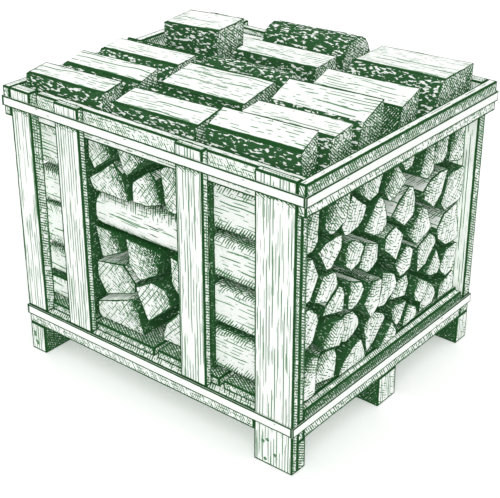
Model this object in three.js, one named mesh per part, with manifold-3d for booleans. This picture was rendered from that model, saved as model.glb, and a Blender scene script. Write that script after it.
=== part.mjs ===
// A slatted timber crate on feet, filled with split firewood, with the top layer lying loose.
// Millimetres, +Z up. The origin is on the floor, under the middle of the crate.
// X runs along the slatted sides, Y runs along the open ends, where the log ends show.

import * as THREE from 'three';
import { mergeVertices } from 'three/addons/utils/BufferGeometryUtils.js';
import Module from 'manifold-3d';

// ---- Driving dimensions: the crate ----

const crateLength = 870; // X, over the two top end rails
const crateDepth = 740; // Y, over the faces of the slats
const rimHeight = 700; // floor to the top of the slats

const legHeight = 77; // floor to the underside of the beams
const railHeight = 72; // every rail board, on edge
const railThickness = 22;
const slatThickness = 20;
const slatWidth = 76; // the two slats between the corners of a side
const cornerBoardWidth = 105; // the wide corner board that runs down to the floor
const cornerPostWidth = 66; // the narrow corner post, which stands on the beam
const cornerPostThickness = 30;
const innerPostWidth = 42; // the short post behind a wide corner board
const sideRailDrop = 5; // how far the side rails lie under the rim
const narrowBay = 80; // clear gap beside the narrow corner post
const wideBay = 137; // clear gap beside the wide corner board

const beamHeight = 50; // the side beams that the slats stand on
const deckThickness = 22;
const deckBoardGap = 11;
const deckBoardCount = 4;
const bearerWidth = 60; // the bearer under the middle of the deck

const footWidth = 50; // the two plain corner feet
const footLength = 100;
const middleFootWidth = 74;
const legBlockDepth = 28; // the block behind the foot of a wide corner board

const bandHeight = 25; // the two thin battens that run round the crate
const bandThickness = 4;

// ---- Driving dimensions: the firewood ----

const endRecess = 10; // log ends lie this far inside the faces of the corner posts
const logColumns = 3; // log lengths that lie end to end along the crate
const columnPlay = 18; // what a column of logs is shorter than its share of the crate
const looseDepth = 80; // how far under the rim the packed logs end and the loose layer starts
const logGap = 5; // between neighbouring logs of the packed stack
const backingThickness = 8; // the sheet at the hidden ends that joins a packed stack
const seamShift = 70; // how much further the middle logs reach on the side of the narrow bay
const rootDepth = 1; // how far the logs of a stack are sunk into that sheet
const lowerBayHeight = 241; // the logs under the crib layer
const cribHeight = 95; // the one layer of the middle stack that lies along X
const cribRecess = 18; // between the ends of the crib layer and the end stack
const looseGap = 12; // between loose logs, so that each one lifts out freely
const looseEdgeGap = 4; // between the loose layer and the rails round it
const liftClearance = 0.3; // under a loose log, and round the packed stacks
const jointGap = 0.3; // hairline joint between two boards

// ---- Materials ----

const paleTimber = new THREE.MeshStandardMaterial({ color: 0xe9efe8, roughness: 0.75, metalness: 0 });
const bandTimber = new THREE.MeshStandardMaterial({ color: 0xf6f8f5, roughness: 0.6, metalness: 0 });
const splitWood = new THREE.MeshStandardMaterial({ color: 0xc9d8ca, roughness: 0.85, metalness: 0 });

// ---- Lines that several pieces share ----

const halfLength = crateLength / 2;
const postFaceX = halfLength - railThickness; // outer face of the corner posts
const sideFaceY = crateDepth / 2; // outer face of the slats
const slatBackY = sideFaceY - slatThickness;
const sideRailBackY = slatBackY - railThickness;
const beamTop = legHeight + beamHeight;
const deckTop = beamTop + deckThickness;
const railTopZ = rimHeight - railHeight;
const sideRailTop = rimHeight - sideRailDrop;
const sideRailBottom = sideRailTop - railHeight;
const beamBackY = sideFaceY - 2 * slatThickness;
const floorZ = -jointGap / 2; // a board is drawn half a joint inside its lines

const stackBottom = deckTop + liftClearance;
const stackTop = rimHeight - looseDepth;
const stackHalfDepth = sideRailBackY - liftClearance;
const stackEndX = postFaceX - endRecess;
const columnLength = (2 * stackEndX) / logColumns;
const logLength = columnLength - columnPlay;
const middleHalfX = stackEndX - logLength - logGap / 2;
const cribBottom = deckTop + lowerBayHeight;
const cribTop = cribBottom + cribHeight;

const crate = new THREE.Group();

// ---- Helpers for boards ----

// A straight board between two lines in each direction, half a joint gap inside them.
function board(name, [x0, x1], [y0, y1], [z0, z1], material = paleTimber) {
  const size = new THREE.Vector3(x1 - x0, y1 - y0, z1 - z0).subScalar(jointGap);
  const mesh = new THREE.Mesh(new THREE.BoxGeometry(size.x, size.y, size.z), material);
  mesh.name = name;
  mesh.position.set((x0 + x1) / 2, (y0 + y1) / 2, (z0 + z1) / 2);
  return mesh;
}

// ---- Solids that need a join or a cut ----

const wasm = await Module();
wasm.setup();

function toSolid(geometry) {
  const bare = geometry.clone();
  bare.deleteAttribute('normal');
  bare.deleteAttribute('uv');
  const merged = mergeVertices(bare, 1e-3);
  return new wasm.Manifold(new wasm.Mesh({
    numProp: 3,
    vertProperties: new Float32Array(merged.attributes.position.array),
    triVerts: new Uint32Array(merged.index.array),
  }));
}

function toMesh(name, solid, material) {
  const { vertProperties, triVerts } = solid.getMesh();
  const geometry = new THREE.BufferGeometry();
  geometry.setAttribute('position', new THREE.BufferAttribute(vertProperties, 3));
  geometry.setIndex(new THREE.BufferAttribute(triVerts, 1));
  geometry.computeVertexNormals();
  const mesh = new THREE.Mesh(geometry, material);
  mesh.name = name;
  return mesh;
}

function join(solids) {
  return solids.reduce((whole, solid) => whole.add(solid));
}

function block([x0, x1], [y0, y1], [z0, z1]) {
  const geometry = new THREE.BoxGeometry(x1 - x0, y1 - y0, z1 - z0);
  geometry.translate((x0 + x1) / 2, (y0 + y1) / 2, (z0 + z1) / 2);
  return geometry;
}

// ---- One slatted side, with the end rails at its right, as the front is seen ----

// The beam is housed at its right end, so that the wide corner board passes down in front of it.
function sideBeam(name) {
  const inset = jointGap / 2;
  const housingX = postFaceX - cornerBoardWidth;
  const bar = toSolid(block(
    [-postFaceX + inset, postFaceX - inset],
    [-sideFaceY + inset, -beamBackY - inset],
    [legHeight + inset, beamTop - inset],
  ));
  const housing = toSolid(block(
    [housingX - inset, postFaceX + 1],
    [-sideFaceY - 1, -slatBackY + inset],
    [legHeight - 1, beamTop + 1],
  ));
  return toMesh(name, bar.subtract(housing), paleTimber);
}

function slattedSide(side, rightEnd) {
  const group = new THREE.Group();
  const front = [-sideFaceY, -slatBackY];
  const standing = [beamTop, rimHeight];
  const boardX = postFaceX - cornerBoardWidth;
  const postX = cornerPostWidth - postFaceX;
  const innerPostX = postFaceX - innerPostWidth;
  const slats = { narrow: postX + narrowBay, wide: boardX - wideBay - slatWidth };

  group.add(board(`${side}_corner_board`, [boardX, postFaceX], front, [floorZ, rimHeight]));
  group.add(board(
    `${side}_corner_post`,
    [-postFaceX, postX],
    [-sideFaceY, cornerPostThickness - sideFaceY],
    standing,
  ));
  for (const [bay, x] of Object.entries(slats)) {
    group.add(board(`${side}_slat_by_${bay}_bay`, [x, x + slatWidth], front, standing));
  }
  group.add(board(
    `${side}_top_rail`,
    [postX, postFaceX],
    [-slatBackY, -sideRailBackY],
    [sideRailBottom, sideRailTop],
  ));
  group.add(board(
    `${side}_inner_post`,
    [innerPostX, postFaceX],
    [-slatBackY, -beamBackY],
    [beamTop, sideRailBottom],
  ));
  group.add(sideBeam(`${side}_beam`));
  group.add(board(
    `${rightEnd}_top_rail`,
    [postFaceX, halfLength],
    [-sideFaceY, sideFaceY],
    [railTopZ, rimHeight],
  ));
  group.add(board(
    `${rightEnd}_bottom_rail`,
    [postFaceX - railThickness, postFaceX],
    [-beamBackY, beamBackY],
    [legHeight, legHeight + railHeight],
  ));
  return group;
}

// ---- The two bands: a thin batten on each face, high and low ----

function bands(side, rightEnd) {
  const group = new THREE.Group();
  const upper = railTopZ + (railHeight - bandHeight) / 2;
  const levels = {
    upper: { z: upper, endX: halfLength },
    lower: { z: beamTop - bandHeight, endX: postFaceX },
  };
  for (const [level, { z, endX }] of Object.entries(levels)) {
    const height = [z, z + bandHeight];
    const outerY = sideFaceY + bandThickness;
    group.add(board(`${side}_${level}_band`, [-endX, endX], [-outerY, -sideFaceY], height, bandTimber));
    const endRun = [-outerY, outerY];
    const endDepth = [endX, endX + bandThickness];
    group.add(board(`${rightEnd}_${level}_band`, endDepth, endRun, height, bandTimber));
  }
  return group;
}

// ---- Feet ----

function feet() {
  const group = new THREE.Group();
  const height = [floorZ, legHeight];
  const endX = [postFaceX - footLength, postFaceX];
  const middle = [-middleFootWidth / 2, middleFootWidth / 2];
  const legBlock = [-slatBackY, legBlockDepth - slatBackY];
  const cornerX = [postFaceX - cornerBoardWidth, postFaceX];
  const mirrored = ([low, high]) => [-high, -low];

  group.add(board('front_left_foot', [-postFaceX, footWidth - postFaceX],
    [-sideFaceY, footLength - sideFaceY], height));
  group.add(board('back_right_foot', endX, [sideFaceY - footWidth, sideFaceY], height));
  group.add(board('right_middle_foot', endX, middle, height));
  group.add(board('left_middle_foot', mirrored(endX), middle, height));
  group.add(board('front_leg_block', cornerX, legBlock, height));
  group.add(board('back_leg_block', mirrored(cornerX), mirrored(legBlock), height));
  return group;
}

// ---- The base that the logs lie on ----

// The deck board at the left end, notched round the corner post and the inner post that stand there.
function deckEndBoard([x0, x1]) {
  const inset = jointGap / 2;
  const plank = toSolid(block(
    [x0 + inset, x1 - inset],
    [-slatBackY + inset, slatBackY - inset],
    [beamTop + inset, deckTop - inset],
  ));
  const through = [beamTop - 1, deckTop + 1];
  const cornerNotch = toSolid(block(
    [x0 - 1, cornerPostWidth - postFaceX + inset],
    [-slatBackY - 1, cornerPostThickness - sideFaceY + inset],
    through,
  ));
  const innerNotch = toSolid(block(
    [x0 - 1, innerPostWidth - postFaceX + inset],
    [beamBackY - inset, slatBackY + 1],
    through,
  ));
  return plank.subtract(cornerNotch).subtract(innerNotch);
}

function base() {
  const group = new THREE.Group();
  const clearX = postFaceX - railThickness;
  group.add(board('centre_bearer', [-clearX, clearX],
    [-bearerWidth / 2, bearerWidth / 2], [legHeight, beamTop]));
  const pitch = (deckBoardGap + 2 * clearX) / deckBoardCount;
  const endRun = [-clearX, pitch - deckBoardGap - clearX];
  group.add(toMesh('deck_board_1', deckEndBoard(endRun), paleTimber));
  for (let i = 1; i < deckBoardCount - 1; i += 1) {
    const x = i * pitch - clearX;
    group.add(board(`deck_board_${i + 1}`, [x, x + pitch - deckBoardGap],
      [-slatBackY, slatBackY], [beamTop, deckTop]));
  }
  const lastBoard = toMesh(`deck_board_${deckBoardCount}`, deckEndBoard(endRun), paleTimber);
  lastBoard.rotation.z = Math.PI;
  group.add(lastBoard);
  return group;
}

// ---- Outlines of split logs: convex polygons, as lists of [across, up] ----

// The part of a convex polygon on the near side of a line through a point, across a direction.
function clip(polygon, [px, py], [nx, ny]) {
  const depth = ([x, y]) => (x - px) * nx + (y - py) * ny;
  const kept = [];
  polygon.forEach((point, i) => {
    const next = polygon[(i + 1) % polygon.length];
    const here = depth(point);
    const there = depth(next);
    if (here <= 0) kept.push(point);
    if (here * there < 0) {
      const t = here / (here - there);
      kept.push([point[0] + t * (next[0] - point[0]), point[1] + t * (next[1] - point[1])]);
    }
  });
  return kept;
}

// Trims a polygon to a round log of the given radius, which is the bark left on a split piece.
function roundOff(polygon, [cx, cy], radius, facets = 18) {
  let trimmed = polygon;
  for (let i = 0; i < facets; i += 1) {
    const angle = (2 * Math.PI * i) / facets;
    const direction = [Math.cos(angle), Math.sin(angle)];
    trimmed = clip(trimmed, [cx + radius * direction[0], cy + radius * direction[1]], direction);
  }
  return trimmed;
}

function rectangle([x0, x1], [y0, y1]) {
  return [[x0, y0], [x1, y0], [x1, y1], [x0, y1]];
}

// The log round one centre: what lies nearer to it than to its neighbours, less half the gap,
// split as a wedge from the corner that was the heart of the tree out to its round bark side.
// At the two sides of the field, where a log is seen along its length, its corners are worn.
function packedOutline(centre, others, field) {
  let cell = field;
  for (const other of others) {
    const away = [other[0] - centre[0], other[1] - centre[1]];
    const distance = Math.hypot(...away);
    const unit = [away[0] / distance, away[1] / distance];
    const reach = (distance - logGap) / 2;
    cell = clip(cell, [centre[0] + unit[0] * reach, centre[1] + unit[1] * reach], unit);
  }
  const distanceFrom = (from) => Math.max(...cell.map(([x, y]) => Math.hypot(x - from[0], y - from[1])));
  const heart = cell.reduce((best, corner) => (distanceFrom(corner) > distanceFrom(best) ? corner : best));
  const outer = Math.max(...field.map(([x]) => x));
  if (Math.abs(centre[0]) > outer - sideZone) {
    return roundOff(cell, centre, distanceFrom(centre) * wornShare);
  }
  return wedge(roundOff(cell, heart, distanceFrom(heart) * barkShare), heart, wedgeAngle);
}

// The part of a polygon within an angle at one of its corners, about the line to its middle.
function wedge(polygon, [hx, hy], angle) {
  const mean = (k) => polygon.reduce((sum, point) => sum + point[k], 0) / polygon.length;
  const axis = Math.atan2(mean(1) - hy, mean(0) - hx);
  return [-1, 1].reduce((kept, side) => {
    const outward = axis + side * (angle / 2 + Math.PI / 2);
    return clip(kept, [hx, hy], [Math.cos(outward), Math.sin(outward)]);
  }, polygon);
}

// ---- Packed stacks ----

const barkShare = 0.86; // how much of a piece's reach from the heart is left inside the bark
const wedgeAngle = (84 * Math.PI) / 180; // the widest that a piece was split
const sideZone = 48; // how near the side of the stack a log's middle lies, to be seen side on
const wornShare = 0.84; // how much of such a log's reach from its own middle is left

// Log centres on an end of the crate, row by row from the floor: [across, up], in hundredths
// of the stack's half width, from its middle, and of its height, from its floor.
const endCentres = [
  [-92, 13], [-71, 11], [-37, 7], [-6, 11], [5, 3], [21, 11], [36, 6], [65, 7], [88, 5],
  [-64, 29], [-40, 20], [25, 23], [44, 15], [65, 26], [84, 19],
  [-92, 37], [-59, 42], [-36, 41], [-19, 34], [2, 31], [25, 37], [52, 35], [84, 42],
  [-92, 62], [-69, 53], [-43, 62], [-21, 55], [4, 54], [42, 54],
  [-67, 70], [-40, 80], [-16, 72], [23, 67], [59, 70], [81, 64],
  [-92, 88], [-66, 87], [-24, 94], [9, 86], [23, 94], [40, 90], [65, 90], [90, 89],
];

// The same in the middle bay of a slatted side, under and over the crib layer.
const lowerBayCentres = [
  [-50, 14], [45, 17], [-66, 47], [8, 44], [78, 38], [-76, 85], [-20, 81], [57, 74],
];
const upperBayCentres = [
  [-56, 33], [0, 31], [40, 47], [-80, 79], [-29, 81], [78, 70],
];

// Extrudes an outline given across [X or Y, Z] along the other level direction.
function prism(outline, along, [from, to]) {
  const shape = new THREE.Shape(outline.map(([a, b]) => new THREE.Vector2(a, b)));
  const geometry = new THREE.ExtrudeGeometry(shape, { depth: to - from, bevelEnabled: false });
  geometry.translate(0, 0, from);
  const z = new THREE.Vector3(0, 0, 1);
  const x = new THREE.Vector3(1, 0, 0);
  const y = new THREE.Vector3(0, 1, 0);
  const frame = along === 'x'
    ? new THREE.Matrix4().makeBasis(y, z, x)
    : new THREE.Matrix4().makeBasis(new THREE.Vector3(-1, 0, 0), z, y);
  geometry.applyMatrix4(frame);
  return geometry;
}

// Logs packed side by side in a field, from their hidden ends out to the ends that show.
function packedLogs(shares, along, across, up, [hidden, shown]) {
  const field = rectangle(across, up);
  const middle = (across[0] + across[1]) / 2;
  const centres = shares.map(([u, v]) => [
    middle + ((across[1] - across[0]) * u) / 200,
    up[0] + ((up[1] - up[0]) * v) / 100,
  ]);
  return centres.map((centre, i) => {
    const others = centres.filter((other) => other !== centre);
    const shortBy = (i * 7) % 9; // the ends that show don't quite line up
    const run = [hidden, shown - shortBy];
    return toSolid(prism(packedOutline(centre, others, field), along, run));
  });
}

// The right end: logs along X, their ends to the right. The left end is its half turn. The logs
// of the back half are shorter, because the narrow bay is on that side.
function endStack() {
  const up = [stackBottom, stackTop];
  const hidden = stackEndX - logLength;
  const shortHidden = hidden + seamShift;
  const backings = [
    block([hidden, hidden + backingThickness], [-stackHalfDepth, 0], up),
    block([shortHidden, shortHidden + backingThickness], [0, stackHalfDepth], up),
    block([hidden, shortHidden + backingThickness], [-backingThickness, 0], up),
  ];
  const spare = toSolid(block(
    [hidden - 1, shortHidden + rootDepth],
    [0, stackHalfDepth + 1],
    [stackBottom - 1, stackTop + 1],
  ));
  const across = [-stackHalfDepth, stackHalfDepth];
  const logs = packedLogs(endCentres, 'x', across, up, [hidden + rootDepth, stackEndX]);
  return join([...backings.map(toSolid), ...logs.map((log) => log.subtract(spare))]);
}

// The middle bay's logs lie along Y. These two stacks are drawn at the back, their ends to +Y,
// as they are seen from there, so that 'across' runs from left to right for that viewer.
function bayStack(centres, up, backingBottom) {
  const across = [-middleHalfX - seamShift, middleHalfX];
  const hidden = logGap / 2;
  const backing = toSolid(block(
    [-middleHalfX, middleHalfX + seamShift],
    [hidden, hidden + backingThickness],
    [backingBottom, up[1]],
  ));
  return [backing, ...packedLogs(centres, 'y', across, up, [hidden + rootDepth, stackHalfDepth])];
}

// Three logs side by side along X, which tie the middle stack, with the joining sheet at one end.
function cribLayer(up) {
  const hiddenX = -middleHalfX;
  const shownX = middleHalfX + seamShift - cribRecess;
  const width = (stackHalfDepth - logGap / 2) / 3;
  const solids = [toSolid(block([hiddenX, hiddenX + backingThickness], [logGap / 2, stackHalfDepth], up))];
  for (let i = 0; i < 3; i += 1) {
    const near = logGap / 2 + i * width;
    const cell = rectangle([near, near + width - logGap / 2], up);
    const middle = [near + width / 2, (up[0] + up[1]) / 2];
    const outline = roundOff(cell, middle, cribHeight * 0.56);
    solids.push(toSolid(prism(outline, 'x', [hiddenX + rootDepth, shownX])));
  }
  return solids;
}

function middleStacks(side) {
  const group = new THREE.Group();
  const lower = bayStack(lowerBayCentres, [stackBottom, cribBottom - liftClearance], stackBottom);
  const crib = cribLayer([cribBottom, cribTop]);
  const upper = bayStack(upperBayCentres, [cribTop + liftClearance, stackTop], cribBottom);
  group.add(toMesh(`${side}_bay_lower_logs`, join(lower), splitWood));
  group.add(toMesh(`${side}_bay_upper_logs`, join([...crib, ...upper]), splitWood));
  return group;
}

// ---- The loose top layer ----

// Each loose log: the share of the column's depth it takes, how far its two upper edges stand
// over the rim, near edge first, and how it was split. slope is the bark or the split side that
// lies open to the sky in front of the top face, gap a wider space before the log, and short
// what its left end stands back.
const looseColumns = {
  left: [
    { share: 82, rise: [30, 40], cut: 'near_bark' },
    { share: 107, rise: [26, 44], cut: 'bark_slope', slope: 25 },
    { share: 136, rise: [30, 38], cut: 'bark_slope', slope: 48 },
    { share: 50, rise: [30, 30], cut: 'bark_up' },
    { share: 120, rise: [80, 88], cut: 'near_bark', short: 75 },
    { share: 165, rise: [-2, -12], cut: 'flat_up' },
  ],
  middle: [
    { share: 97, rise: [22, 38], cut: 'near_bark' },
    { share: 48, rise: [34, 34], cut: 'bark_up' },
    { share: 141, rise: [26, 50], cut: 'flat_up' },
    { share: 118, rise: [44, 44], cut: 'bark_up' },
    { share: 104, rise: [40, 46], cut: 'near_bark' },
    { share: 152, rise: [72, 72], cut: 'bark_up' },
  ],
  right: [
    { share: 76, rise: [36, 66], cut: 'near_bark' },
    { share: 106, rise: [42, 50], cut: 'bark_slope', slope: 14 },
    { share: 114, rise: [38, 68], cut: 'bark_slope', slope: 30 },
    { share: 154, rise: [22, 46], cut: 'cleft_slope', slope: 40, gap: 28 },
    { share: 210, rise: [46, 48], cut: 'bark_slope', slope: 40, gap: 22 },
  ],
};

const topperTaper = 0.94; // a loose log's left end is a little slimmer than its right end
const cleftLean = 14; // how far a split side leans in, down to the log's underside
const barkFullness = 0.8; // 1 is an ellipse; less is fuller, nearer to a box
const barkSteps = 7; // facets of a quarter turn of bark
const slopeTurn = Math.PI / 4; // how far the bark of a slope turns before it meets the top face

// A quarter turn of bark round a centre, from level with it (0) to over or under it (1).
function barkQuarter([cy, cz], [reachY, reachZ]) {
  return Array.from({ length: barkSteps + 1 }, (_, i) => {
    const angle = (i * Math.PI) / (2 * barkSteps);
    return [cy + reachY * Math.cos(angle) ** barkFullness, cz + reachZ * Math.sin(angle) ** barkFullness];
  });
}

// Bark from the foot of a log, steep at first, up to the near edge of its top face.
function barkSlope([y, bottom], [reachY, reachZ]) {
  const across = (angle) => 1 - Math.cos(angle) ** barkFullness;
  const up = (angle) => Math.sin(angle) ** barkFullness;
  return Array.from({ length: barkSteps + 1 }, (_, i) => {
    const angle = (i * slopeTurn) / barkSteps;
    const place = [reachY * across(angle) / across(slopeTurn), reachZ * up(angle) / up(slopeTurn)];
    return [y + place[0], bottom + place[1]];
  });
}

// near_bark is a quarter log with its bark to -Y, bark_slope one whose bark leans back from its
// foot, cleft_slope a wedge that leans back, flat_up a half log with its split face up, and
// bark_up a half log that lies on its split face.
function looseOutline([y0, y1], bottom, rise, cut, slope) {
  const [near, far] = rise.map((over) => rimHeight + over);
  const half = (y1 - y0) / 2;
  if (cut === 'near_bark') {
    const bark = barkQuarter([y0 + half, near], [-half, bottom - near]);
    return [...bark, [y1 - cleftLean, bottom], [y1, far]];
  }
  if (cut === 'bark_slope') {
    const bark = barkSlope([y0, bottom], [slope, near - bottom]);
    return [[y1 - cleftLean, bottom], [y1, far], ...bark.reverse()];
  }
  if (cut === 'cleft_slope') {
    return [[y0, bottom], [y1 - cleftLean, bottom], [y1, far], [y0 + slope, near]];
  }
  if (cut === 'flat_up') {
    const nearBark = barkQuarter([y0 + half * 0.7, near], [-half * 0.7, bottom - near]);
    const farBark = barkQuarter([y1 - half * 0.7, far], [half * 0.7, bottom - far]);
    return [...nearBark, ...farBark.reverse()];
  }
  const nearBark = barkQuarter([y0 + half, bottom], [-half, near - bottom]);
  const farBark = barkQuarter([y0 + half, bottom], [half, near - bottom]);
  return [...farBark, ...nearBark.reverse().slice(1)];
}

// Slims a log towards its left end, about the middle of its underside.
function taper(geometry, [x0, x1], middleY, bottom) {
  const position = geometry.attributes.position;
  for (let i = 0; i < position.count; i += 1) {
    const along = (position.getX(i) - x0) / (x1 - x0);
    const scale = topperTaper + (1 - topperTaper) * along;
    position.setY(i, middleY + (position.getY(i) - middleY) * scale);
    position.setZ(i, bottom + (position.getZ(i) - bottom) * scale);
  }
  return geometry;
}

function looseLayer() {
  const group = new THREE.Group();
  const bottom = stackTop + liftClearance;
  const halfDepth = sideRailBackY - looseEdgeGap + looseGap / 2;
  const pitch = (2 * (postFaceX - looseEdgeGap)) / logColumns;
  const spare = pitch - logLength;
  Object.entries(looseColumns).forEach(([column, logs], c) => {
    const left = looseEdgeGap - postFaceX + c * pitch;
    const total = logs.reduce((sum, log) => sum + log.share, 0);
    let y = -halfDepth;
    logs.forEach(({ share, rise, cut, slope = 0, gap = 0, short = 0 }, i) => {
      const width = (share / total) * 2 * halfDepth;
      const cell = [y + gap + looseGap / 2, y + width - looseGap / 2];
      const x0 = left + ((i * 5) % 3) * spare * 0.25;
      const run = [x0 + short, x0 + logLength];
      const outline = looseOutline(cell, bottom, rise, cut, slope);
      const geometry = taper(prism(outline, 'x', run), run, (cell[0] + cell[1]) / 2, bottom);
      group.add(toMesh(`loose_log_${column}_${i + 1}`, toSolid(geometry), splitWood));
      y += width;
    });
  });
  return group;
}

// ---- Assembly ----

const halfTurn = { front: 0, back: Math.PI };
const rightEndOf = { front: 'right', back: 'left' };

for (const side of ['front', 'back']) {
  const half = new THREE.Group();
  half.add(slattedSide(side, rightEndOf[side]));
  half.add(bands(side, rightEndOf[side]));
  half.add(toMesh(`${rightEndOf[side]}_end_logs`, endStack(), splitWood));
  half.rotation.z = halfTurn[side];
  crate.add(half);

  const bay = middleStacks(side);
  bay.rotation.z = halfTurn[side] + Math.PI;
  crate.add(bay);
}
crate.add(feet());
crate.add(base());
crate.add(looseLayer());

export default crate;
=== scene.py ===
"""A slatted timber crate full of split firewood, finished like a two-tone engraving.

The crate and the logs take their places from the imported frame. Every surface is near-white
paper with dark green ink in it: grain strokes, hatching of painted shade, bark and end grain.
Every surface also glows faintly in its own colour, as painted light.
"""

import math
import random

import bmesh
import bpy
from bpy.props import (
    FloatProperty,
    FloatVectorProperty,
    IntProperty,
    PointerProperty,
)
from mathutils import Matrix, Vector, noise


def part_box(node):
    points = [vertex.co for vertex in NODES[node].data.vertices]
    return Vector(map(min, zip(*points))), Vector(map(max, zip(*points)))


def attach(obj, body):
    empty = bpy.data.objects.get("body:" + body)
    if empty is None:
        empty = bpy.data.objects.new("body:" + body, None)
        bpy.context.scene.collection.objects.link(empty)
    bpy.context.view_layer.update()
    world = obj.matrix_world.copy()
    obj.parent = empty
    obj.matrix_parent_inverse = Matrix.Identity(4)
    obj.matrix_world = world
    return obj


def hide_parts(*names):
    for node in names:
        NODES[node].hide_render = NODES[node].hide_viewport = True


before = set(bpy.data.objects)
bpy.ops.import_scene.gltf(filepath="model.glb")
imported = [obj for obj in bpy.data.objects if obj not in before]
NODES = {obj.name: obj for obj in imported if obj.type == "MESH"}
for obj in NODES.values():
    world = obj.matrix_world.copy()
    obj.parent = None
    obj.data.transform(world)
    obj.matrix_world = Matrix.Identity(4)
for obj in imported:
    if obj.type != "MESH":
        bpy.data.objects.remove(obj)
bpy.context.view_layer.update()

bl_info = {
    "name": "Kindling Crate",
    "version": (1, 0, 0),
    "blender": (4, 5, 0),
    "location": "3D View > Sidebar > Kindling Crate",
    "description": "Dresses a firewood crate's boards and logs in an engraved finish",
    "category": "Object",
}

MM = 0.001
FIXED_BODY = "crate"
JOINT_GAP = 0.3 * MM

# Finishes, in the order in which they stand in a log's material slots.
LOG_FINISHES = ("split face", "bark", "end grain", "deep shade")
CLEFT, BARK, END_GRAIN, DEEP = range(4)


# ---- Settings ----


class CrateStageSettings(bpy.types.PropertyGroup):
    """The camera, the floor and the light."""

    sky_strength: FloatProperty(
        name="Sky strength", description="Even light from all round", default=0.60, min=0.0
    )
    sun_strength: FloatProperty(
        name="Sun strength", description="Soft light from over the slatted side", default=0.72, min=0.0
    )
    sun_direction: FloatVectorProperty(
        name="Sun direction", description="Where the soft light comes from",
        default=(0.36, -0.50, 0.78), subtype="DIRECTION",
    )
    floor_size: FloatProperty(
        name="Floor size", description="Width of the floor", default=24.0, unit="LENGTH"
    )
    floor_color: FloatVectorProperty(
        name="Floor colour", description="Pale floor", subtype="COLOR", default=(0.96, 0.965, 0.96)
    )
    floor_lift: FloatProperty(
        name="Floor lift", description="How much the floor is lightened towards the white page",
        default=0.36, min=0.0,
    )


class CrateInkSettings(bpy.types.PropertyGroup):
    """The two tones of the engraving, and the painted light that every surface gives off."""

    paper: FloatVectorProperty(
        name="Paper", description="Bare wood, almost white", subtype="COLOR",
        default=(0.955, 0.975, 0.950),
    )
    half_tone: FloatVectorProperty(
        name="Half tone", description="Green of a thin line that lets the paper through",
        subtype="COLOR", default=(0.150, 0.330, 0.170),
    )
    ink: FloatVectorProperty(
        name="Ink", description="Dark green of the solid ink", subtype="COLOR",
        default=(0.012, 0.072, 0.016),
    )
    # Painted light: every drawn surface glows in its own colour, which evens out the shading from the
    # lamps.
    painted_glow: FloatProperty(
        name="Flatness", description="Light that a drawn surface gives off by itself, as a page does",
        default=0.28, min=0.0,
    )


class CrateBoardSettings(bpy.types.PropertyGroup):
    """The sawn boards and their nails."""

    rounding: FloatProperty(
        name="Rounding", description="Rounding along the edges of a board",
        default=1.2 * MM, unit="LENGTH", precision=4,
    )
    rim: FloatProperty(
        name="Rim", description="Strip along each edge that carries the ink line",
        default=4.8 * MM, unit="LENGTH", precision=4,
    )
    wear: FloatProperty(
        name="Wear", description="How deep the edges are worn and chipped",
        default=0.9 * MM, unit="LENGTH", precision=4,
    )
    cut_length: FloatProperty(
        name="Cut length", description="Spacing of the cuts across a board, for its uneven edges",
        default=18 * MM, unit="LENGTH", precision=4,
    )
    nail_radius: FloatProperty(
        name="Nail radius", description="Radius of a nail head", default=4.6 * MM, unit="LENGTH",
        precision=4,
    )


class CrateLogSettings(bpy.types.PropertyGroup):
    """The split logs."""

    facet: FloatProperty(
        name="Facet", description="Longest facet round a log", default=9 * MM, unit="LENGTH",
        precision=4,
    )
    slice_length: FloatProperty(
        name="Slice", description="Longest facet along a log", default=13 * MM, unit="LENGTH",
        precision=4,
    )
    rim: FloatProperty(
        name="Rim", description="Strip along each arris that carries the ink line",
        default=4.6 * MM, unit="LENGTH", precision=4,
    )
    bark_relief: FloatProperty(
        name="Bark relief", description="Depth of the furrows in the bark",
        default=4.0 * MM, unit="LENGTH", precision=4,
    )
    cleft_relief: FloatProperty(
        name="Cleft relief", description="Depth of the ridges on a split face",
        default=3.0 * MM, unit="LENGTH", precision=4,
    )
    packed_inset: FloatProperty(
        name="Packed inset", description="How much slimmer a packed log is than its room in the stack",
        default=1.6 * MM, unit="LENGTH", precision=4,
    )
    packed_corner: FloatProperty(
        name="Packed corner", description="How much of a packed log's sharp corners is worn away",
        default=4 * MM, unit="LENGTH", precision=4,
    )
    lying_corner: FloatProperty(
        name="Lying corner", description="How much is worn off a log that lies with its side to the slats",
        default=15 * MM, unit="LENGTH", precision=4,
    )
    recess: FloatProperty(
        name="Recess", description="The most that one packed log stands behind the next",
        default=14 * MM, unit="LENGTH", precision=4,
    )
    seed: IntProperty(name="Seed", description="Start of the random numbers", default=7)


def settings():
    return bpy.context.scene.kindling_crate


# ---- Writing shader nodes ----


class Nodes:
    """Writes shader nodes into a material or a world."""

    def __init__(self, owner):
        owner.use_nodes = True
        self.nodes = owner.node_tree.nodes
        self.links = owner.node_tree.links

    def put(self, socket, value):
        if isinstance(value, bpy.types.NodeSocket):
            self.links.new(value, socket)
        else:
            socket.default_value = value

    def node(self, kind, inputs=()):
        """A new node, with a value or a link for each input that is given by name or number."""
        made = self.nodes.new(kind)
        for name, value in dict(inputs).items():
            self.put(made.inputs[name], value)
        return made

    def math(self, operation, *values, clamp=False):
        node = self.node("ShaderNodeMath", enumerate(values))
        node.operation = operation
        node.use_clamp = clamp
        return node.outputs[0]


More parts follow.
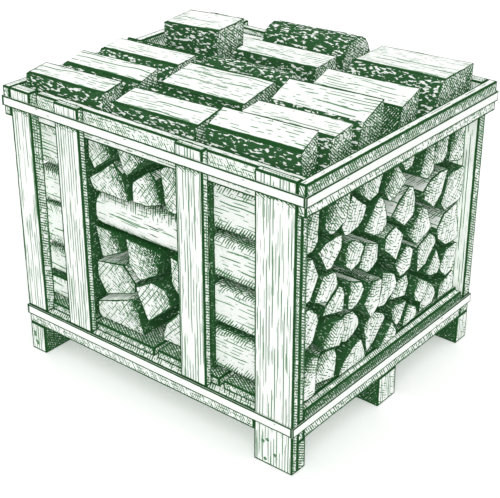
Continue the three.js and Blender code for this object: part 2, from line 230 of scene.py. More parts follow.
class Ink(Nodes):
    """Writes the nodes of one finish: paper, and how much ink lies on it."""

    SWAY_WAVES = 9.0  # waves in a metre of a ruled line's wavering
    ROW_STEP = 7.31  # sets the dashes of neighbouring lines apart
    LINE_EDGE = 0.09  # how softly a line ends across, as a share of the pitch
    DASH_EDGE = 0.05  # how softly a dash ends
    HATCH_DASH = 20 * MM
    SPOT_EDGE = 0.03  # how softly a spot ends

    def __init__(self, name):
        self.material = bpy.data.materials.new(name)
        super().__init__(self.material)
        self.shader = self.nodes["Principled BSDF"]
        self.grain = self.attribute("grain", "Vector")
        self.edge = self.attribute("edge", "Fac")
        # tone: how much painted shade lies at a corner, read by the hatching and stipple.
        self.tone = self.attribute("tone", "Fac")

    def attribute(self, name, output):
        node = self.node("ShaderNodeAttribute")
        node.attribute_name = name
        return node.outputs[output]

    def noise(self, vector, detail=1.0, roughness=0.5, distortion=0.0):
        return self.node("ShaderNodeTexNoise", {
            "Vector": vector, "Scale": 1.0, "Detail": detail, "Roughness": roughness,
            "Distortion": distortion,
        }).outputs["Fac"]

    def waves(self, vector, along, across, **character):
        """Noise with about so many waves in a metre along a vector and across it."""
        node = self.node("ShaderNodeVectorMath", {0: vector, 1: (along, across, 1.0)})
        node.operation = "MULTIPLY"
        return self.noise(node.outputs[0], **character)

    def step(self, value, low, high, start=0.0, end=1.0):
        node = self.node("ShaderNodeMapRange", {
            "Value": value, "From Min": low, "From Max": high, "To Min": start, "To Max": end,
        })
        node.interpolation_type = "SMOOTHSTEP"
        return node.outputs["Result"]

    def turned(self, angle):
        node = self.node("ShaderNodeVectorRotate", {"Vector": self.grain, "Angle": angle})
        node.rotation_type = "Z_AXIS"
        return node.outputs[0]

    def ruled(self, pitch, dash, share, width, turn=0.0, sway=0.5, strength=1.0):
        """Lines as an engraver rules them: evenly spaced, wavering and broken into dashes.

        share is how much of the lines is drawn, and width how much of the pitch a line fills.
        """
        grain = self.turned(turn) if turn else self.grain
        along, across, seed = self.node("ShaderNodeSeparateXYZ", {0: grain}).outputs
        bend = self.math("MULTIPLY", self.waves(grain, self.SWAY_WAVES, self.SWAY_WAVES), sway * 2)
        place_on = self.math("ADD", bend, self.math("DIVIDE", across, pitch))
        row = self.node("ShaderNodeCombineXYZ", {
            0: self.math("DIVIDE", along, dash),
            1: self.math("MULTIPLY", self.math("FLOOR", place_on), self.ROW_STEP),
            2: seed,
        })
        breaks = self.noise(row.outputs[0])
        start = self.math("SUBTRACT", 0.72, self.math("MULTIPLY", share, 0.44))
        swell = self.math("MULTIPLY_ADD", self.math("SUBTRACT", breaks, start), 2.2, 0.5, clamp=True)
        half = self.math("MULTIPLY", self.math("MULTIPLY", width, 0.5), swell)
        middle = self.math("SUBTRACT", 0.5, self.math("PINGPONG", place_on, 0.5))
        line = self.step(middle, half, self.math("ADD", half, self.LINE_EDGE), strength, 0.0)
        drawn = self.step(breaks, start, self.math("ADD", start, self.DASH_EDGE))
        return self.math("MULTIPLY", line, drawn)

    def depth(self, start, steep):
        """How far the tone is past its start, from 0 to 1."""
        return self.math("MULTIPLY", self.math("SUBTRACT", self.tone, start), steep, clamp=True)

    def shade(self, pitch, turn, start=0.0, steep=1.0):
        """Hatching of painted shade, which grows longer and heavier with the tone."""
        depth = self.depth(start, steep)
        share = self.math("MULTIPLY_ADD", depth, 0.70, 0.40)
        width = self.math("MULTIPLY_ADD", depth, 0.42, 0.26)
        lines = self.ruled(pitch, self.HATCH_DASH, share, width, turn)
        drawn = self.math("MULTIPLY", lines, self.step(depth, 0.02, 0.10))
        return self.math("MULTIPLY", drawn, self.math("MULTIPLY_ADD", depth, 0.35, 0.62))

    def stipple(self, size, start=0.0, steep=1.0):
        """Spots of painted shade, which close up as the tone deepens."""
        limit = self.math("MULTIPLY_ADD", self.depth(start, steep), 0.46, 0.24)
        low, high = (self.math(way, limit, self.SPOT_EDGE) for way in ("SUBTRACT", "ADD"))
        return self.step(self.waves(self.grain, 1 / size, 1 / size), low, high, 1.0, 0.0)

    def patches(self, along, across, spread, middle):
        """A share that is higher in some patches than in others."""
        around = self.math("SUBTRACT", self.waves(self.grain, along, across, detail=2.0), 0.5)
        return self.math("MULTIPLY_ADD", around, spread, middle, clamp=True)

    def flecks(self, length, width, rare):
        """Flecks of about a size, that lie along the grain, and are fewer the rarer they are."""
        spots = self.waves(self.grain, 1 / length, 1 / width, detail=1.5, roughness=0.6,
                           distortion=0.5)
        return self.step(spots, *rare)

    def outline(self, reach=0.66):
        """The ink line along the edges, which wavers and reaches so far over the rim."""
        wobble = self.math("MULTIPLY", self.waves(self.grain, 60, 60), 0.25)
        return self.step(self.math("ADD", self.edge, wobble), reach, reach + 0.24, 1.0, 0.0)

    def any_of(self, *masks):
        whole = masks[0]
        for mask in masks[1:]:
            whole = self.math("MAXIMUM", whole, mask)
        return whole

    def done(self, amount, roughness=0.8, depth=0.4 * MM):
        """Lays the given amount of ink on the paper, sunk a little into the wood, and makes the surface
        glow in its own colour as painted light, which evens out the shading from the lamps.
        """
        tones = settings().ink
        ramp = self.node("ShaderNodeValToRGB", {"Fac": amount})
        stops = ramp.color_ramp.elements
        stops[0].color = (*tones.paper, 1.0)
        stops[1].color = (*tones.ink, 1.0)
        stops.new(0.5).color = (*tones.half_tone, 1.0)
        bump = self.node("ShaderNodeBump", {"Strength": 0.35, "Distance": depth, "Height": amount})
        bump.invert = True
        for name, value in (
            ("Base Color", ramp.outputs["Color"]),
            # Painted light: each surface glows in its own colour.
            ("Emission Color", ramp.outputs["Color"]),
            ("Emission Strength", tones.painted_glow),
            ("Roughness", roughness),
            ("Specular IOR Level", 0.15),
            ("Normal", bump.outputs["Normal"]),
        ):
            self.put(self.shader.inputs[name], value)
        return self.material


# ---- Finishes ----


def sawn_board(name, pitch, dash, share):
    """A sawn board: ruled grain, heavier in patches, and hatching of painted shade where its tone asks for
    it.
    """
    ink = Ink(name)
    uneven = ink.patches(along=6, across=34, spread=1.2, middle=share)
    few = ink.math("MULTIPLY", uneven, 0.62)
    return ink.done(ink.any_of(
        ink.ruled(pitch, dash, uneven, width=0.24, sway=0.2, strength=0.72),
        ink.ruled(pitch * 0.62, dash * 0.5, few, width=0.26, sway=0.3, strength=0.50),
        ink.shade(pitch=5.8 * MM, turn=1.02),
        ink.shade(pitch=6.2 * MM, turn=-0.62, start=0.40, steep=1.6),
        ink.stipple(size=3.2 * MM, start=0.42, steep=1.5),
        ink.outline(),
    ))


def planed_batten(name):
    """A thin pale batten: almost bare, with a short stroke here and there."""
    ink = Ink(name)
    strokes = ink.ruled(pitch=7.5 * MM, dash=30 * MM, share=0.10, width=0.25)
    return ink.done(ink.any_of(strokes, ink.outline(0.50)), roughness=0.6)


def split_face(name):
    """A cleft face: pale, with rows of short dashes and a few long cracks along the log, and hatching and
    stipple of painted shade where its tone asks for it.
    """
    ink = Ink(name)
    uneven = ink.patches(along=9, across=26, spread=1.6, middle=0.46)
    return ink.done(ink.any_of(
        ink.ruled(pitch=8.6 * MM, dash=26 * MM, share=uneven, width=0.20, sway=0.6, strength=0.56),
        ink.ruled(pitch=18 * MM, dash=120 * MM, share=0.42, width=0.11, sway=0.7, strength=0.66),
        ink.shade(pitch=5.8 * MM, turn=1.0),
        ink.shade(pitch=6.4 * MM, turn=-0.5, start=0.45, steep=1.4),
        ink.stipple(size=3.4 * MM, start=0.50, steep=1.9),
        ink.outline(0.86),
    ), roughness=0.85)


def bark(name):
    """Bark: a dark network with pale flecks along the log."""
    ink = Ink(name)
    pale = ink.flecks(length=15 * MM, width=5.8 * MM, rare=(0.55, 0.60))
    dark = ink.math("MULTIPLY", ink.math("SUBTRACT", 1.0, pale), 0.94)
    return ink.done(ink.any_of(dark, ink.outline(0.12)), roughness=0.95, depth=1.5 * MM)


def end_grain(name):
    """A sawn end: slanted dashes, thin cross lines, and shade that closes up to one side."""
    ink = Ink(name)
    return ink.done(ink.any_of(
        ink.ruled(pitch=7.2 * MM, dash=10 * MM, share=0.50, width=0.28, turn=0.35, sway=0.8,
                  strength=0.75),
        ink.ruled(pitch=10.5 * MM, dash=50 * MM, share=0.62, width=0.15, turn=-1.05, sway=0.4,
                  strength=0.66),
        ink.shade(pitch=5.6 * MM, turn=0.75, start=0.16, steep=1.1),
        ink.stipple(size=3.4 * MM, start=0.34, steep=1.5),
        ink.outline(0.50),
    ), roughness=0.9)


def deep_shade(name):
    """The faces between packed logs, which the engraving shows as solid ink with a few flecks."""
    ink = Ink(name)
    flecks = ink.flecks(length=9 * MM, width=4 * MM, rare=(0.60, 0.66))
    dark = ink.math("SUBTRACT", 0.95, ink.math("MULTIPLY", flecks, 0.62))
    return ink.done(dark, roughness=0.95)


def nail_head(name):
    """A dark steel nail head, drawn as a small ink spot mottled with lighter green."""
    ink = Ink(name)
    return ink.done(ink.step(ink.waves(ink.grain, 900, 900), 0.30, 0.62, 1.0, 0.55), roughness=0.5)


FINISHES = {
    "sawn upright": lambda name: sawn_board(name, pitch=7.8 * MM, dash=130 * MM, share=0.60),
    "sawn rail": lambda name: sawn_board(name, pitch=7.6 * MM, dash=22 * MM, share=0.46),
    "planed batten": planed_batten,
    "split face": split_face,
    "bark": bark,
    "end grain": end_grain,
    "deep shade": deep_shade,
    "nail head": nail_head,
}


def finish(name):
    """The material of a finish, made when it is first asked for."""
    return bpy.data.materials.get(name) or FINISHES[name](name)


# ---- Collecting a mesh, with what the ink needs to know about each corner ----

SHARP_LOG, SHARP_BOARD = math.radians(32), math.radians(38)  # edges that aren't shaded smooth


class Carving:
    """Points and faces of one piece. Each face has a finish, and each corner grain and tone, the amount of
    painted shade there.
    """

    def __init__(self):
        self.points = []
        self.edges = []
        self.faces = []
        self.slots = []
        self.grain = []
        self.tone = []

    def point(self, position, edge):
        self.points.append(position)
        self.edges.append(edge)
        return len(self.points) - 1

    def face(self, corners, slot, grain, tone):
        self.faces.append(corners)
        self.slots.append(slot)
        self.grain.extend(grain)
        self.tone.extend(tone)

    def build(self, name, finishes, body, slot_name, *nodes):
        mesh = bpy.data.meshes.new(name)
        mesh.from_pydata(self.points, [], self.faces)
        for finish_name in finishes:
            mesh.materials.append(finish(finish_name))
        mesh.polygons.foreach_set("material_index", self.slots)
        mesh.attributes.new("edge", "FLOAT", "POINT").data.foreach_set("value", self.edges)
        flat = [number for vector in self.grain for number in vector]
        mesh.attributes.new("grain", "FLOAT_VECTOR", "CORNER").data.foreach_set("vector", flat)
        mesh.attributes.new("tone", "FLOAT", "CORNER").data.foreach_set("value", self.tone)
        mesh.polygons.foreach_set("use_smooth", [True] * len(self.faces))
        mesh.set_sharp_from_angle(angle=SHARP_LOG)
        turn_outward(mesh)
        return place(mesh, name, body, slot_name, *nodes)


def turn_outward(mesh):
    """Turns the faces outward where the whole mesh came out inside out."""
    volume = 0.0
    mesh.calc_loop_triangles()
    for triangle in mesh.loop_triangles:
        a, b, c = (mesh.vertices[i].co for i in triangle.vertices)
        volume += a.dot(b.cross(c))
    if volume < 0:
        mesh.flip_normals()


def place(mesh, name, body, slot_name, *nodes):
    piece = bpy.data.objects.new(name, mesh)
    bpy.context.scene.collection.objects.link(piece)
    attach(piece, body)
    if nodes:
        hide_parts(*nodes)
    return piece


# ---- Boards ----

SAME_WAY = 0.999  # cosine, for faces that look the same way
SMALLEST_FACE = 20 * MM * MM
COARSE_WEAR, FINE_WEAR = 38, 110  # waves in a metre of the wear along an edge


def board_solid(outline, low, high):
    """A board with worn, rounded edges, from its plan outline and its lower and upper face."""
    board = settings().boards
    solid = bmesh.new()
    layer = solid.verts.layers.float.new("edge")
    base = solid.faces.new([solid.verts.new((x, y, low)) for x, y in outline])
    raised = bmesh.ops.extrude_face_region(solid, geom=[base])
    bmesh.ops.translate(solid, vec=(0, 0, high - low),
                        verts=[v for v in raised["geom"] if isinstance(v, bmesh.types.BMVert)])
    bmesh.ops.recalc_face_normals(solid, faces=solid.faces)
    normals = [face.normal.copy() for face in solid.faces]
    bmesh.ops.bevel(solid, geom=solid.edges[:], offset=board.rounding, segments=2, profile=0.5,
                    affect="EDGES")
    wide = [face for face in solid.faces
            if any(face.normal.dot(n) > SAME_WAY for n in normals) and face.calc_area() > SMALLEST_FACE]
    for face in wide:
        narrowest = min(edge.calc_length() for edge in face.edges)
        bmesh.ops.inset_individual(solid, faces=[face], thickness=min(board.rim, narrowest * 0.4),
                                   use_even_offset=True)
        for vert in face.verts:
            vert[layer] = 1.0
    return solid


def cut_board(solid, axis, place_on):
    """Cuts a board's faces across an axis, without parting it."""
    normal = Vector([1.0 if i == axis else 0.0 for i in range(3)])
    bmesh.ops.bisect_plane(solid, geom=solid.verts[:] + solid.edges[:] + solid.faces[:],
                           plane_co=normal * place_on, plane_no=normal)


def slice_board(solid, axis, low, high, spacing):
    """Cuts a board's faces across an axis at even spaces, so that its edges can be worn."""
    count = max(2, round((high - low) / spacing))
    for i in range(1, count):
        cut_board(solid, axis, low + (high - low) * i / count)


def wear_board(solid, depth, seed):
    """Wears the edges most and the faces a little, always inward."""
    layer = solid.verts.layers.float["edge"]
    shifts = {}
    for vert in solid.verts:
        coarse = noise.noise(vert.co * COARSE_WEAR + Vector((seed, 0, 0)))
        rough = coarse + 0.5 * noise.noise(vert.co * FINE_WEAR)
        share = 1.0 - 0.75 * min(1.0, vert[layer])
        shifts[vert] = vert.normal * -depth * share * max(0.0, 0.35 + rough * 0.9)
    for vert, shift in shifts.items():
        vert.co += shift


def dress_board(node, finish_name, tones, outline=None, grain_axis=None, slot_name="pale_timber",
                cross_cuts=False, cuts=()):
    """Stands a worn board in the place of a plain one.

    tones gives the painted shade, as hatching, for the faces that look along X, Y and Z, as a
    number or as a function of the place. cross_cuts slices the board in its height too, and cuts
    at a few heights only, so that such a function can change over it.
    """
    board = settings().boards
    low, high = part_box(node)
    size = high - low
    axis = grain_axis if grain_axis is not None else max(range(3), key=lambda i: size[i])
    outline = outline or [(low.x, low.y), (high.x, low.y), (high.x, high.y), (low.x, high.y)]
    seed = sum(ord(letter) * (i + 3) for i, letter in enumerate(node)) % 97
    solid = board_solid(outline, low.z, high.z)
    solid.loops.layers.float_vector.new("grain")
    solid.loops.layers.float.new("tone")
    grain, tone = solid.loops.layers.float_vector["grain"], solid.loops.layers.float["tone"]
    slice_board(solid, axis, low[axis], high[axis], board.cut_length)
    if cross_cuts:
        slice_board(solid, 2, low.z, high.z, board.cut_length / 3)
    for height in cuts:
        cut_board(solid, 2, height)
    solid.normal_update()
    for face in solid.faces:
        facing = max(range(3), key=lambda i: abs(face.normal[i]))
        if facing == axis:
            first, second = (i for i in range(3) if i != axis)
        else:
            first, second = axis, 3 - axis - facing
        # Each side of each board takes its grain from another place.
        offset = facing * 0.31 + (0.17 if face.normal[facing] > 0 else 0.0) + seed * 0.37
        for loop in face.loops:
            place_on = loop.vert.co
            loop[grain] = Vector((place_on[first], place_on[second] + offset, seed))
            value = tones[facing]
            loop[tone] = value(place_on) if callable(value) else value
    wear_board(solid, board.wear, seed)
    mesh = bpy.data.meshes.new(node)
    solid.to_mesh(mesh)
    solid.free()
    mesh.materials.append(finish(finish_name))
    mesh.polygons.foreach_set("use_smooth", [True] * len(mesh.polygons))
    mesh.set_sharp_from_angle(angle=SHARP_BOARD)
    return place(mesh, f"{node}.board", FIXED_BODY, slot_name, node)


UNDER_BAND = 14 * MM  # how far the shade reaches down an upright from the upper band
BESIDE_BAND = 24 * MM  # how far the shade reaches over a rail from the upper band


class KINDLING_OT_uprights(bpy.types.Operator):
    """Dress the corner boards, corner posts, inner posts and slats"""

    bl_idname = "kindling.uprights"
    bl_label = "Uprights"

    def execute(self, context):
        band_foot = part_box("front_upper_band")[0].z
        cuts = [band_foot, band_foot - UNDER_BAND / 2, band_foot - UNDER_BAND]

        def face(at):
            """Shade just under the band, which fades over a short way down."""
            below = (band_foot - at.z) / UNDER_BAND
            return 0.8 * (1.0 - below) if 0.0 <= below < 1.0 else 0.0

        # Painted shade: the narrow sides of the uprights are hatched at half tone, and their broad faces
        # only just under the band, where its shadow falls; the inner posts are shaded on their broad faces
        # as well.
        for side in ("front", "back"):
            for piece in ("corner_board", "corner_post", "slat_by_narrow_bay", "slat_by_wide_bay"):
                dress_board(f"{side}_{piece}", "sawn upright", (0.50, face, 0.1), cuts=cuts)
            dress_board(f"{side}_inner_post", "sawn upright", (0.55, 0.5, 0.1))
        return {"FINISHED"}


def two_shades(height, above, below):
    """One amount of painted shade above a height and another below it."""
    return lambda at: above if at.z > height else below


class KINDLING_OT_rails(bpy.types.Operator):
    """Dress the top rails and the lower end rails"""

    bl_idname = "kindling.rails"
    bl_label = "Rails"

    def execute(self, context):
        low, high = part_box("front_upper_band")

        def shade_beside_band(at):
            """Above the band the shade grows downwards, and below it it starts again."""
            if at.z > high.z:
                return 0.24 * (1.0 - (at.z - high.z) / BESIDE_BAND)
            return 0.20 * (1.0 - (low.z - at.z) / BESIDE_BAND)

        # Painted shade: the narrow ends of the long rails at half tone, and their broad faces beside the
        # band.
        for side in ("front", "back"):
            dress_board(f"{side}_top_rail", "sawn rail", (0.5, shade_beside_band, 0.0), cross_cuts=True)
        for end in ("right", "left"):
            # Painted shade on the outer faces of the end rails, heavier above each band than below it;
            # their other faces are shaded by the way they look.
            upper_shade = two_shades(high.z, 0.58, 0.30)
            lower_shade = two_shades(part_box(f"{end}_lower_band")[1].z, 0.80, 0.42)
            dress_board(f"{end}_top_rail", "sawn rail", (upper_shade, 0.45, 0.0), cross_cuts=True)
            dress_board(f"{end}_bottom_rail", "sawn rail", (lower_shade, 0.5, 0.4), cross_cuts=True)
        return {"FINISHED"}


def half_turn(outline):
    return [(-x, -y) for x, y in outline]


def beam_outline(side):
    """The beam's plan: a bar with a housing at one end, where the corner board passes."""
    low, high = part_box("front_beam")
    board_low, board_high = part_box("front_corner_board")
    gap = board_low.y - low.y + JOINT_GAP
    outline = [
        (low.x, low.y), (board_low.x - gap, low.y), (board_low.x - gap, board_high.y + gap),
        (high.x, board_high.y + gap), (high.x, high.y), (low.x, high.y),
    ]
    return outline if side == "front" else half_turn(outline)


def deck_outline(node):
    """A deck board's plan: the two end boards are notched round the posts that stand there."""
    if node not in ("deck_board_1", "deck_board_4"):
        return None
    low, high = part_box("deck_board_1")
    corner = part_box("front_corner_post")[1]
    inner_low, inner_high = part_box("back_inner_post")
    by_corner, by_inner = corner.x + JOINT_GAP, inner_high.x + JOINT_GAP
    outline = [
        (by_corner, low.y), (high.x, low.y), (high.x, high.y), (by_inner, high.y),
        (by_inner, inner_low.y - JOINT_GAP), (low.x, inner_low.y - JOINT_GAP),
        (low.x, corner.y + JOINT_GAP), (by_corner, corner.y + JOINT_GAP),
    ]
    return outline if node == "deck_board_1" else half_turn(outline)


class KINDLING_OT_base(bpy.types.Operator):
    """Dress the beams, the bearer, the deck and the feet"""

    bl_idname = "kindling.base"
    bl_label = "Base"

    def execute(self, context):
        # Painted shade, set by the way each face looks: the bearer under the deck is dark all over, the
        # deck and the leg blocks are heavily shaded, and each foot is dark on one side.
        for side in ("front", "back"):
            dress_board(f"{side}_beam", "sawn rail", (0.5, 0.30, 0.4), beam_outline(side))
        dress_board("centre_bearer", "sawn rail", (0.9, 0.9, 0.9))
        for node in sorted(NODES):
            if node.startswith("deck_board"):
                dress_board(node, "sawn rail", (0.55, 0.55, 0.70), deck_outline(node), grain_axis=1)
            if node.endswith("_foot"):
                tones = (0.80, 0.06, 0.5) if node == "front_left_foot" else (0.10, 0.85, 0.5)
                dress_board(node, "sawn upright", tones, grain_axis=2)
            if node.endswith("_leg_block"):
                dress_board(node, "sawn upright", (0.6, 0.6, 0.6), grain_axis=2)
        return {"FINISHED"}


# Where the nails are: how far across the board, as a share of its width, and how many mm up.
BOARD_NAILS = ((0.30, 13), (0.55, 34), (0.24, 58), (0.36, 66))
FOOT_NAILS = ((0.35, 24), (0.25, 42), (0.25, 49), (0.42, 20))
# A nail head from its middle to its hidden end: how far out, in radii, and how many mm proud.
NAIL_PROFILE = ((0.0, 0.66), (0.55, 0.612), (0.9, 0.42), (1.0, 0.132), (0.92, -0.38), (0.4, -0.70),
                (0.0, -0.86))
NAIL_SIDES = 14


class KINDLING_OT_nails(bpy.types.Operator):
    """Drive nails into the feet and the foot ends of the corner boards"""

    bl_idname = "kindling.nails"
    bl_label = "Nails"

    def execute(self, context):
        for where, node, sign, nails in (
            ("front", "front_corner_board", -1, BOARD_NAILS),
            ("back", "back_corner_board", 1, BOARD_NAILS),
            ("front_left_foot", "front_left_foot", -1, FOOT_NAILS),
            ("back_right_foot", "back_right_foot", 1, FOOT_NAILS),
        ):
            low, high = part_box(node)
            face = low.y if sign < 0 else high.y
            for number, (across, up) in enumerate(nails, 1):
                x = low.x + (high.x - low.x) * (across if sign < 0 else 1 - across)
                self.nail(f"{where}.nail_{number}", x, face, up * MM, sign)
        return {"FINISHED"}

    def nail(self, name, x, face, up, sign):
        """A flat round head, a little proud, on a short shank in the wood."""
        radius = settings().boards.nail_radius
        carving = Carving()
        rings = []
        for out, proud in NAIL_PROFILE:
            turns = [math.tau * i / NAIL_SIDES for i in range(NAIL_SIDES if out else 1)]
            rings.append([
                carving.point((x + out * radius * math.cos(turn), face + sign * proud * MM,
                               up + out * radius * math.sin(turn)), 1.0)
                for turn in turns
            ])
        for near, far in zip(rings, rings[1:]):
            for i in range(NAIL_SIDES):
                corners = [near[i % len(near)], near[(i + 1) % len(near)],
                           far[(i + 1) % len(far)], far[i % len(far)]]
                corners = list(dict.fromkeys(corners))
                grain = [(carving.points[k][0], carving.points[k][2], 3.0) for k in corners]
                carving.face(corners, 0, grain, [0.5] * len(corners))
        carving.build(name, ["nail head"], FIXED_BODY, "pale_timber")


class KINDLING_OT_bands(bpy.types.Operator):
    """Dress the thin battens that run round the crate"""

    bl_idname = "kindling.bands"
    bl_label = "Bands"

    def execute(self, context):
        for node in sorted(NODES):
            if node.endswith("_band"):
                dress_board(node, "planed batten", (0.0, 0.0, 0.0), slot_name="band_timber")
        return {"FINISHED"}


# ---- Logs ----

FLAT = 0.9999  # cosine, for the faces of a flat end
LONGEST_BORDER = 400  # points after which a border is cut off that never comes back to its start
UPWARD = 0.6  # how much a side has to face up to count as an upper one
# How sharply an outline turns, in degrees: at an arris, along bark, and where a corner is worn.
ARRIS_TURN, BARK_TURN, WORN_TURN = 33, 30, 25


def end_outlines(node, axis, sign):
    """The outlines of the log ends in a node that look along an axis, and how far out they lie."""
    mesh = NODES[node].data
    solid = bmesh.new()
    solid.from_mesh(mesh)
    bmesh.ops.remove_doubles(solid, verts=solid.verts[:], dist=1e-6)
    solid.normal_update()
    solid.faces.index_update()
    looking = {face.index: face for face in solid.faces if face.normal[axis] * sign > FLAT}
    outlines = []
    while looking:
        island = [looking.pop(min(looking))]
        for face in island:
            for edge in face.edges:
                for other in edge.link_faces:
                    if other.index in looking:
                        island.append(looking.pop(other.index))
        outlines.append(walk_border(island, axis))
    solid.free()
    return sorted(outlines)


def walk_border(island, axis):
    """The border of flat faces: its place on the axis, and its points in the other directions."""
    following = {}
    members = {face.index for face in island}
    for face in island:
        for loop in face.loops:
            if sum(other.index in members for other in loop.edge.link_faces) == 1:
                following[loop.vert] = loop.link_loop_next.vert
    start = min(following, key=lambda vert: tuple(vert.co))
    ring = [start]
    while following.get(ring[-1]) not in (None, start) and len(ring) < LONGEST_BORDER:
        ring.append(following[ring[-1]])
    across = [i for i in range(3) if i != axis]
    return ring[0].co[axis], [(v.co[across[0]], v.co[across[1]]) for v in ring]


def centre_of(points):
    return (sum(p[0] for p in points) / len(points), sum(p[1] for p in points) / len(points))


def without_steps(points, shortest):
    """Drops points that lie almost on their neighbour."""
    kept = []
    for point in points:
        if not kept or math.dist(point, kept[-1]) > shortest:
            kept.append(point)
    while len(kept) > 3 and math.dist(kept[0], kept[-1]) <= shortest:
        kept.pop()
    return kept


def turn_at(points, i):
    """How sharply the outline turns at a point, in degrees."""
    before = Vector(points[i]) - Vector(points[i - 1])
    after = Vector(points[(i + 1) % len(points)]) - Vector(points[i])
    return math.degrees(before.angle(after, 0.0))


def inward_at(points, i):
    """The direction into a log at a point of its outline."""
    along = Vector(points[(i + 1) % len(points)]) - Vector(points[i - 1])
    side = Vector((-along.y, along.x)).normalized()
    middle = Vector(centre_of(points))
    return side if side.dot(middle - Vector(points[i])) > 0 else -side


def slimmer(points, by):
    """The outline, drawn in on all sides."""
    return [tuple(Vector(point) + inward_at(points, i) * by) for i, point in enumerate(points)]


def cleft(points, direction, reach):
    """The outline, split off straight at a share of its reach in the given direction."""
    middle = Vector(centre_of(points))
    ahead = [(Vector(point) - middle).dot(direction) for point in points]
    limit = max(ahead) * reach
    kept = []
    for i, point in enumerate(points):
        j = (i + 1) % len(points)
        if ahead[i] <= limit:
            kept.append(point)
        if (ahead[i] - limit) * (ahead[j] - limit) < 0:
            share = (limit - ahead[i]) / (ahead[j] - ahead[i])
            kept.append(tuple(Vector(point).lerp(Vector(points[j]), share)))
    return kept


def worn(points, cut_at):
    """The outline with each sharp corner rounded off, by what cut_at gives for that corner."""
    rounded = []
    for i, point in enumerate(points):
        here = Vector(point)
        before, after = Vector(points[i - 1]), Vector(points[(i + 1) % len(points)])
        shorter = min((before - here).length, (after - here).length)
        cut = min(cut_at(point), shorter * 0.42)
        if turn_at(points, i) < WORN_TURN or cut < 1 * MM:
            rounded.append(point)
            continue
        start = here + (before - here).normalized() * cut
        end = here + (after - here).normalized() * cut
        for share in (0.0, 0.25, 0.5, 0.75, 1.0):
            rounded.append(tuple(start.lerp(here, share).lerp(here.lerp(end, share), share)))
    return rounded


SHORTEST_FACET = 0.6 * MM
WIDE_FACE = 40 * MM  # a cleft face at least this wide carries a lip of bark along its edge
LIP = 1.3  # width of that lip, in rims


class Outline:
    """A log's outline in short facets, each with its finish and its tone (how much painted shade it
    carries), and its arrises marked.
    """

    def __init__(self, points, finish_of, tone_of):
        log = settings().logs
        points = without_steps(points, SHORTEST_FACET)
        count = len(points)
        corners = [turn_at(points, i) > ARRIS_TURN for i in range(count)]
        finishes, outwards = [], []
        for i, start in enumerate(points):
            j = (i + 1) % count
            arc = turn_at(points, i) < BARK_TURN or turn_at(points, j) < BARK_TURN
            run = Vector(points[j]) - Vector(start)
            out = Vector((run.y, -run.x)).normalized()
            out = out if out.dot(inward_at(points, i) + inward_at(points, j)) < 0 else -out
            finishes.append(finish_of(start, points[j], arc, out))
            outwards.append(out)
        self.points, self.edges, self.slots, self.tones, self.slides = [], [], [], [], []
        for i, start in enumerate(points):
            j = (i + 1) % count
            end = points[j]
            length = math.dist(start, end)
            after_bark = finishes[i] == CLEFT and finishes[i - 1] == BARK
            before_bark = finishes[i] == CLEFT and finishes[j] == BARK
            wide = length > WIDE_FACE
            first = LIP * log.rim if after_bark and wide else log.rim
            last = LIP * log.rim if before_bark and wide else log.rim
            stops = [(0.0, 0.0 if corners[i] and not after_bark else 1.0, 0.0)]
            if corners[i] and length > 3 * log.rim:
                stops.append((first / length, 0.0 if after_bark else 1.0, 1.0 if after_bark else 0.0))
            inner = stops[-1][0]
            outer = 1 - last / length if corners[j] and length > 3 * log.rim else 1.0
            parts = max(1, math.ceil((outer - inner) * length / log.facet))
            stops += [(inner + (outer - inner) * k / parts, 1.0, 0.0) for k in range(1, parts)]
            if outer < 1.0:
                stops.append((outer, 0.0 if before_bark else 1.0, 1.0 if before_bark else 0.0))
            run = Vector(end) - Vector(start)
            for k, (stop, edge, slide) in enumerate(stops):
                self.points.append(tuple(Vector(start) + run * stop))
                self.edges.append(edge)
                self.slides.append(run.normalized() * slide)
                lip = (after_bark and wide and k == 0) or (before_bark and wide and stop == outer)
                self.slots.append(BARK if lip else finishes[i])
                following = stops[k + 1][0] if k + 1 < len(stops) else 1.0
                self.tones.append((tone_of(Vector(start) + run * stop, outwards[i]),
                                   tone_of(Vector(start) + run * following, outwards[i])))
        self.inward = [inward_at(self.points, i) for i in range(len(self.points))]
        self.walk = [0.0]
        for i in range(len(self.points)):
            after = self.points[(i + 1) % len(self.points)]
            self.walk.append(self.walk[-1] + math.dist(self.points[i], after))


# Waves in a metre of a log's roughness: along bark, along a cleft face, and across both.
BARK_WAVES, CLEFT_WAVES, CROSS_WAVES = 28, 9, 75
ARRIS_RELIEF = 1.1  # how much rougher a cleft face is along its arrises
END_LEAN = 0.05  # the steepest that a sawn end is out of square
END_RINGS = (0.45, 0.72)  # rings of facets on a sawn end, as shares of the way to its middle
LIP_SWAY = 7 * MM  # how far the border of a lip of bark wavers


def stand(axis, along, across):
    """A point from its place along the log and its two places across."""
    if axis == 0:
        return Vector((along, across[0], across[1]))
    return Vector((across[0], along, across[1]))


